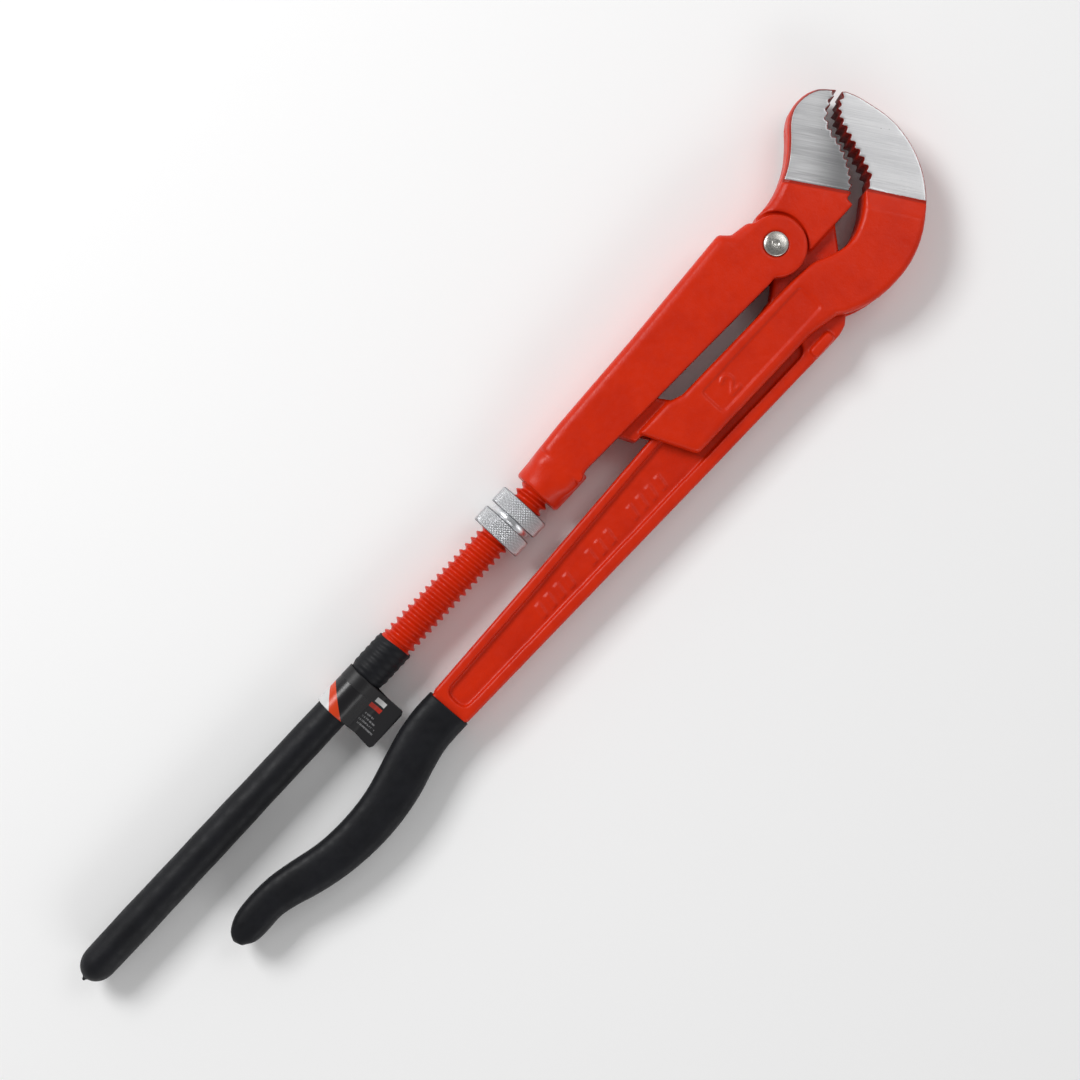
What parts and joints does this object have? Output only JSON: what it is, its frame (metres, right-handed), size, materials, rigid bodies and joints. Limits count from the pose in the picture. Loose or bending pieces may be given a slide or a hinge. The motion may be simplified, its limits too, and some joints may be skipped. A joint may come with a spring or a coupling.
{
  "type": "pipe wrench",
  "caption": "Swedish-pattern pipe wrench: S-shaped toothed jaws, slotted hook shank on a threaded spindle, knurled adjusting nut, channel link, pivoting lever and dipped grips.",
  "frame": {"origin": "centre of the tool's box on the surface it lies on, at the channel's flat back face", "axes": "+X along the spindle from its grip to the jaws, +Y across the tool away from the lever, +Z out of the tool's front face, parallel to the rivet"},
  "size_m": [0.5616, 0.0968, 0.0289],
  "materials": {
    "red_paint": "semi-gloss red powder coat over forged steel, jaw side faces ground bright",
    "bright_rivet": "bright plated",
    "black_dip": "satin dipped plastic",
    "zinc_steel": "zinc plated, fine knurl",
    "tag_paper": "printed paper with an orange stripe"
  },
  "bodies": {
    "link": {"link_channel": "red_paint", "pivot_rivet": "bright_rivet"},
    "lever": {"jaw_lever": "red_paint", "lever_grip": "black_dip"},
    "hook": {"hook_jaw": "red_paint", "threaded_spindle": "red_paint", "spindle_grip": "black_dip", "hang_tag": "tag_paper"},
    "nut": {"adjusting_nut": "zinc_steel"}
  },
  "joints": [
    {"name": "lever_pivot", "type": "hinge", "parent": "link", "child": "lever", "pos_m": [0.19847, 0.0092, 0.0138], "axis": [0, 0, 1], "range_deg": [0, 12]},
    {"name": "jaw_slide", "type": "slide", "parent": "link", "child": "hook", "axis": [1, 0, 0], "range_m": [0, 0.06]},
    {"name": "nut_spin", "type": "hinge", "parent": "link", "child": "nut", "pos_m": [0.01846, 0.0119, 0.0138], "axis": [1, 0, 0], "range_deg": [-5400, 0]}
  ],
  "couplings": [
    {"joint": "nut_spin", "follows": "jaw_slide", "rad_per_m": -1570.8}
  ]
}
